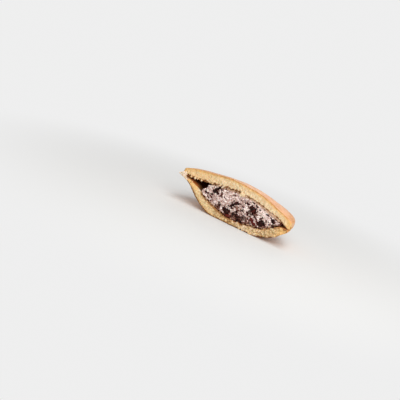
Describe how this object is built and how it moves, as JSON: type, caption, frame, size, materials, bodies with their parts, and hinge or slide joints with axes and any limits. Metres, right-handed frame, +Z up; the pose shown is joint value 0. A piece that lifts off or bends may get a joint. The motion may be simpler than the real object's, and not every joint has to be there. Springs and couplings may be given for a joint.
{
  "type": "dorayaki half",
  "caption": "Half of a round griddle-cake sandwich, cut through the middle, showing a filling of whipped cream and cooked red beans.",
  "frame": {"origin": "middle of the bounding box's base, on the surface that the lower cake rests on", "axes": "+X along the cut face to its right end, +Y from the cut face to the round back, +Z up"},
  "size_m": [0.0946, 0.0456, 0.0313],
  "materials": {
    "upper_cake": "matte golden-brown griddled skin with a pale yellow sponge at the cut",
    "lower_cake": "matte brown griddled skin with a yellow sponge at the cut",
    "bean_cream": "soft lilac-white whipped cream with a satin sheen, mixed with bean paste",
    "bean": "dark red-brown, moist and slightly glossy bean skins"
  },
  "bodies": {
    "root": {"upper_cake": "upper_cake", "lower_cake": "lower_cake", "filling": "bean_cream"}
  },
  "joints": []
}
